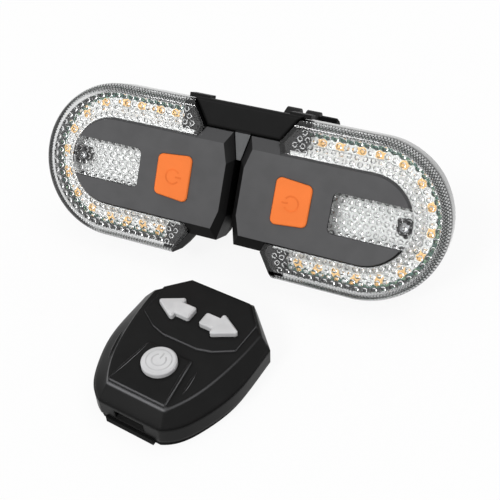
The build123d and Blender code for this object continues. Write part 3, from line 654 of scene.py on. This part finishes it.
def lens_ring(solids):
    """The clear ring with its relief, closed by a wall at each end."""
    lines = ring_lines()
    inner, count, steps = len(inner_profile()), len(lines), len(lines[0])
    wall = 2 * wall_cells
    start = len(solids.points)
    for line in lines:
        solids.points += [tuple(p) for p in line]
    for j in range(count):
        a, b = start + j * steps, start + (j + 1) % count * steps
        for i in range(steps - 1):
            solids.faces.append((a + i, a + i + 1, b + i + 1, b + i))
    for i in (0, steps - 1):
        at = [start + j * steps + i for j in range(count)]
        foot = {}
        for j in range(wall + 1, count - 3):
            x, y = lines[j][i][:2]
            foot[j] = len(solids.points)
            solids.points.append((x, y, -parting))
        solids.faces.append(tuple(at[: wall + 2]) + (foot[wall + 1],))
        for j in (*range(wall + 1, inner - 1), *range(inner, count - 4)):
            solids.faces.append((at[j], at[j + 1], foot[j + 1], foot[j]))
        solids.faces.append((*at[count - 4:], foot[count - 4]))
        solids.faces.append((at[inner - 1], at[inner], foot[inner], foot[inner - 1]))
        solids.faces.append((at[0], *foot.values(), at[count - 1]))


def lens_tongue(solids):
    """The clear island in the slot, flat above and with pips below."""
    reach = ring_inner - tongue_gap
    start = len(solids.points)
    for v in np.linspace(-tongue_half, tongue_half, tongue_rows + 1):
        past = max(abs(v) - (tongue_half - tongue_corner), 0)
        low = tongue_start + tongue_corner - math.sqrt(max(tongue_corner ** 2 - past ** 2, 0))
        high = end_u + math.sqrt(reach ** 2 - v ** 2)
        us = low + (high - low) * np.linspace(0, 1, tongue_steps + 1)
        row = np.round(v / pip_row)
        height = np.zeros(len(us))
        for near_row in (row - 1, row, row + 1):
            offset = us / pip_pitch - 0.5 * (near_row % 2)
            near = (offset - np.round(offset)) * pip_pitch
            height = np.maximum(height, pip(np.hypot(near, v - near_row * pip_row)))
        solids.points += [(u, v, lens_under - h) for u, h in zip(us, height)]
    width = tongue_steps + 1
    for i in range(tongue_rows):
        for j in range(tongue_steps):
            a = start + i * width + j
            solids.faces.append((a, a + 1, a + 1 + width, a + width))
    rim = [start + j for j in range(width)]
    rim += [start + i * width + tongue_steps for i in range(1, tongue_rows + 1)]
    rim += [start + tongue_rows * width + j for j in range(tongue_steps - 1, -1, -1)]
    rim += [start + i * width for i in range(tongue_rows - 1, 0, -1)]
    top = len(solids.points)
    solids.points += [(*solids.points[index][:2], -tongue_drop) for index in rim]
    for k in range(len(rim)):
        n = (k + 1) % len(rim)
        solids.faces.append((rim[k], rim[n], top + n, top + k))
    solids.faces.append(tuple(top + k for k in range(len(rim))))


def shade_lens(obj, shaded_flank, ring_highlight, outer, shade_black):
    """Finish the lens face by face: pip flanks with painted shade, or a painted highlight near the
    ends; end walls black as painted shade; and the outer side of its rim.
    """
    for finish in (shaded_flank, ring_highlight, outer, shade_black):
        obj.data.materials.append(finish)
    for face in obj.data.polygons:
        u, v, z = face.center
        normal = face.normal
        out = max(u - end_u, 0)
        inside = math.hypot(out, v) < inner_knee
        pips = inside and lens_under - pip_height < z < lens_under
        # Pip flanks: dark tint as painted shade, or opaque white near the ends as painted highlight
        if pips and flank_slope[0] < abs(normal.z) < flank_slope[1]:
            face.material_index = 1 if u > end_block_u else 2
        # End walls of the clear lens: black as painted shade
        elif normal.x < end_wall_lean and abs(u - cut_u(v)) < end_wall_reach:
            face.material_index = 4
        elif not inside and normal.x * out + normal.y * v > 0:
            face.material_index = 3


def led_places():
    """Place and turn of each lamp on the board."""
    places = []
    for side in (-1, 1):
        places += [(end_u - n * led_pitch, side * led_track, 0.0) for n in range(straight_leds)]
    for n in range(turn_leds):
        angle = math.pi * ((n + 1) / (turn_leds + 1) - 0.5)
        places.append((end_u + led_track * math.cos(angle), led_track * math.sin(angle),
                       angle + math.pi / 2))
    return places


def led_solids():
    """White lamp packages, their amber windows and their metal pads."""
    shells, windows, pads = Solids(), Solids(), Solids()
    for u, v, turn in led_places():
        c, s = math.cos(turn), math.sin(turn)
        shells.rounded_block((u, v), package_size, package_corner, board_top,
                             board_top + package_top, lamp_edge, turn)
        for size, top in window_forms:
            windows.rounded_block((u, v), size, window_corner, board_top + window_foot,
                                  board_top + top, lamp_edge, turn)
        for x in (-pad_offset, pad_offset):
            pads.rounded_block((u + x * c, v + x * s), pad_size, pad_corner, board_top,
                               board_top + pad_top, small_edge, turn)
    return shells, windows, pads


def resistor_solids():
    """Small resistors between the lamps, on the board's outer side."""
    parts = Solids()
    for u, v, turn in led_places():
        c, s = math.cos(turn), math.sin(turn)
        out = -1 if v > 0 and turn == 0.0 else 1
        for x, y in resistor_spots:
            spot = (u + x * c + out * y * s, v + x * s - out * y * c)
            parts.rounded_block(spot, resistor_size, small_edge, board_top,
                                board_top + resistor_top, small_edge, turn)
    return parts


def prism(solids, outline, low, high, edge):
    """An upright block over an outline, with its upper edge drawn in."""
    middle = np.mean(outline, axis=0)
    inner = [tuple(np.array(p) + (middle - np.array(p)) * edge) for p in outline]
    solids.skin([[(u, v, low) for u, v in outline], [(u, v, high - edge) for u, v in outline],
                  [(u, v, high) for u, v in inner]])


def board_strip(inner, outer):
    """A flat strip on the board that follows the lamps round the pod."""
    low, high = board_top + strip_foot, board_top + strip_top
    path = [(end_block_u, 90)] + [(end_u, turn) for turn in range(90, -91, -strip_turn)]
    path.append((end_block_u, -90))
    rings = []
    for u, degrees in path:
        c, s = math.cos(math.radians(degrees)), math.sin(math.radians(degrees))
        rings.append([(u + r * c, r * s, z) for r, z in ((inner, low), (outer, low),
                                                         (outer, high), (inner, high))])
    strip = Solids()
    strip.skin(rings)
    return strip


def end_blocks():
    """Black blocks under both ends of the lens, where no lamp stands."""
    blocks = Solids()
    low, high = end_block_v
    for side in (-1, 1):
        outline = [(cut_u(v) + end_block_gap, side * v) for v in (low, cut_points[1][0], high)]
        outline += [(end_block_u, side * high), (end_block_u, side * low)]
        prism(blocks, outline, end_block_foot, end_block_top, end_block_edge)
    return blocks


def bead(x, y, across, width, low):
    """The rounded section of a raised line at a point, across the line."""
    points = []
    for angle in bead_angles:
        side = math.cos(angle) * width / 2
        points.append((x + across[0] * side, y + across[1] * side,
                       low + math.sin(angle) * sign_height))
    return points


def power_mark(solids, sign, low, direction):
    """An open ring with a bar in its gap, raised with a rounded top."""
    radius, width, (bar_start, bar_end) = sign
    rings = []
    for n in range(sign_steps + 1):
        angle = direction + sign_gap / 2 + (2 * math.pi - sign_gap) * n / sign_steps
        x, y = math.cos(angle), math.sin(angle)
        rings.append(bead(radius * x, radius * y, (x, y), width, low))
    solids.skin(rings)
    x, y = math.cos(direction), math.sin(direction)
    ends = (bar_start, bar_start + bar_tip, bar_end - bar_tip, bar_end)
    solids.skin([bead(r * x, r * y, (-y, x), width, low) for r in ends])


def round_line(solids, radius, width, low):
    """A full ring, raised with a rounded top."""
    rings = []
    for n in range(circle_steps):
        angle = 2 * math.pi * n / circle_steps
        x, y = math.cos(angle), math.sin(angle)
        rings.append(bead(radius * x, radius * y, (x, y), width, low))
    solids.skin(rings, close=True)


def surface_ridge(solids, node, start, end):
    """A low rounded ridge with tapered ends on a node's upper surface."""
    rings = []
    for n in range(ridge_steps + 1):
        x, y = start.lerp(end, n / ridge_steps)
        point, normal = node.ray_cast(Vector((x, y, 1)), Vector((0, 0, -1)))[1:3]
        across = (end - start).to_3d().cross(normal).normalized()
        taper = min(ridge_taper * min(n, ridge_steps - n) / ridge_steps + ridge_tip, 1.0) * mm
        rings.append([point + across * math.cos(angle) * ridge_width / 2 * taper
                      + normal * (math.sin(angle) * ridge_height * taper - ridge_sink * mm)
                      for angle in ridge_angles])
    solids.skin(rings)


# Lamp pods
lens = Solids()
lens_ring(lens)
lens_tongue(lens)
led_shells, led_windows, led_pads = led_solids()
button_mark = Solids()
power_mark(button_mark, button_sign, button_sign_z, math.pi)
pod_pieces = (
    ("lamp_windows", led_windows, finishes["led_amber"], "led_amber"),
    ("lamp_pads", led_pads, solder, None),
    ("resistors", resistor_solids(), chip_black, None),
    ("lamp_strip", board_strip(*strip_radius), finishes["reflector_white"], "reflector_white"),
    ("rim_strip", board_strip(*rim_radius), rim_grey, None),
    ("lens_end_blocks", end_blocks(), finishes["housing_black"], "housing_black"),
)

for side, place in (("right", pod_place(1)), ("left", pod_place(-1))):
    body = f"{side}_pod"
    clear = add_mesh(f"{side}_clear_lens", lens, finishes["lens_clear"], body, place)
    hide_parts(f"{side}_lens")
    shade_lens(clear, flank_painted_shade, pip_ring_highlight, outer_clear, finishes["housing_black"])
    shells = add_mesh(f"{side}_lamp_shells", led_shells, lamp_white, body, place)
    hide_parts(f"{side}_leds")
    for name, solids, finish, slot in pod_pieces:
        add_mesh(f"{side}_{name}", solids, finish, body, place)
    add_mesh(f"{side}_button_mark", button_mark, mark_orange, f"{side}_power_button",
             place @ Matrix.Translation((button_sign_u, 0, 0)))

# Grey plate in the notch between the pods
web = Solids()
web_outline = [(-web_half[0], web_v[0]), (web_half[0], web_v[0]), (web_half[1], web_v[1]),
               (-web_half[1], web_v[1])]
prism(web, web_outline, *web_z, web_edge)
middle_place = pod_place(1) @ Matrix.Translation((-half_gap, 0, 0))
add_mesh("bracket_web_plate", web, web_grey, "bracket", middle_place)

# Round key of the remote
key_low, key_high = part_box("round_key")
key_mark = Solids()
power_mark(key_mark, key_sign, key_sign_z, math.pi / 2)
round_line(key_mark, *key_circle, key_sign_z)
key_spot = ((key_low.x + key_high.x) / 2, (key_low.y + key_high.y) / 2, key_high.z)
key_place = (Matrix.Translation(key_spot) @ Matrix.Rotation(remote_turn, 4, "Z")
             @ Matrix.Scale(mm, 4))
add_mesh("round_key_mark", key_mark, mark_grey, "round_key", key_place)

# Ridges beside the remote's front panel
ridges = Solids()
remote_matrix = Matrix.Rotation(remote_turn, 2)
remote_spot = Vector((remote_middle[0], remote_middle[1] + face_y))
for ends in side_ridges:
    start, end = [(remote_spot + remote_matrix @ Vector(spot)) * mm for spot in ends]
    surface_ridge(ridges, nodes["remote_top_shell"], start, end)
add_mesh("remote_side_ridges", ridges, ridge_black, "clamp_and_remote", Matrix.Identity(4))


# Floor, light and camera

def seen_rays(tree):
    """1 for the rays that see the backdrop: from the camera, in gloss and through clear parts."""
    path = tree.nodes.new("ShaderNodeLightPath")
    seen = path.outputs["Is Camera Ray"]
    for ray in ("Is Glossy Ray", "Is Transmission Ray"):
        seen = maths(tree, "MAXIMUM", seen, path.outputs[ray])
    return seen


def add_floor():
    """A plain white floor, well beyond the view."""
    bpy.ops.mesh.primitive_plane_add(size=floor_size)
    floor = bpy.context.object
    floor.name = "floor"
    material, tree, shader, place = start_material("floor_white")
    stops = [(mark, (tone, tone, tone, 1)) for mark, tone in floor_tones]
    tones = ramp(tree, noise(tree, place, floor_patch), stops)
    tree.links.new(tones, shader.inputs["Base Color"])
    shader.inputs["Roughness"].default_value = floor_roughness
    shader.inputs["Specular IOR Level"].default_value = 0.0
    glow = tree.nodes.new("ShaderNodeEmission")
    glow.inputs["Strength"].default_value = 1.0
    mixed(tree, maths(tree, "MULTIPLY", seen_rays(tree), floor_white), shader.outputs["BSDF"],
          glow.outputs["Emission"], tree.nodes["Material Output"])
    floor.data.materials.append(material)


def add_sun(name, direction, strength, spread_angle):
    """A soft distant lamp that shines along a direction."""
    lamp = bpy.data.lights.new(name, "SUN")
    lamp.energy = strength
    lamp.angle = math.radians(spread_angle)
    obj = bpy.data.objects.new(name, lamp)
    obj.rotation_euler = Vector(direction).to_track_quat("-Z", "Y").to_euler()
    bpy.context.scene.collection.objects.link(obj)


def add_world():
    """Soft light from all round, seen as plain white behind the object and in its reflections."""
    world = bpy.data.worlds.new("studio")
    bpy.context.scene.world = world
    world.use_nodes = True
    tree = world.node_tree
    soft, backdrop = tree.nodes["Background"], tree.nodes.new("ShaderNodeBackground")
    for light, strength in ((soft, soft_strength), (backdrop, 1.0)):
        light.inputs["Color"].default_value = white
        light.inputs["Strength"].default_value = strength
    mixed(tree, seen_rays(tree), soft.outputs["Background"], backdrop.outputs["Background"],
          tree.nodes["World Output"])


def add_camera():
    """The camera at the photograph's place."""
    camera = bpy.data.cameras.new("camera")
    camera.lens = camera_lens
    camera.sensor_width = camera_sensor
    camera.clip_start = camera_near
    obj = bpy.data.objects.new("camera", camera)
    foot = Vector((0, face_y, 0))
    spot, aim = (Vector(camera_spot) + foot) * mm, (Vector(camera_aim) + foot) * mm
    turn = (aim - spot).to_track_quat("-Z", "Y").to_matrix().to_4x4()
    roll = Matrix.Rotation(math.radians(camera_roll), 4, "Z")
    obj.matrix_world = Matrix.Translation(spot) @ turn @ roll
    bpy.context.scene.collection.objects.link(obj)
    bpy.context.scene.camera = obj


add_floor()
add_world()
add_sun("key", *key_sun)
add_sun("top", *top_sun)
add_camera()
bpy.context.scene.view_settings.view_transform = "Standard"
